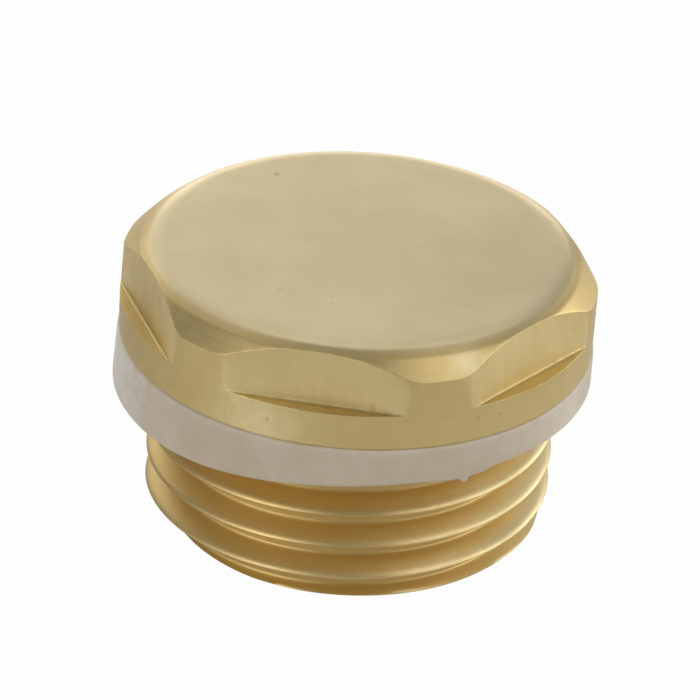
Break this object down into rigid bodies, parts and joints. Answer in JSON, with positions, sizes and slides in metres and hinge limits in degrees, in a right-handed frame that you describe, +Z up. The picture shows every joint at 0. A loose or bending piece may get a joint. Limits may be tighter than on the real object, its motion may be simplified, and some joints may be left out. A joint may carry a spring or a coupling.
{
  "type": "radiator blanking plug",
  "caption": "Brass blanking plug: round flanged head with spanner flats, right-hand male pipe thread on a hollow shank, and a flat sealing washer under the head, to close a radiator port.",
  "frame": {"origin": "on the thread's axis at the sealing plane, the washer's underside", "axes": "+Z runs up the axis to the head's top, -Y faces one spanner flat"},
  "size_m": [0.0242, 0.0242, 0.0148],
  "materials": {
    "brass": "satin, turned and milled",
    "washer": "soft, slightly translucent, off-white"
  },
  "bodies": {
    "root": {"plug_body": "brass", "sealing_washer": "washer"}
  },
  "joints": []
}
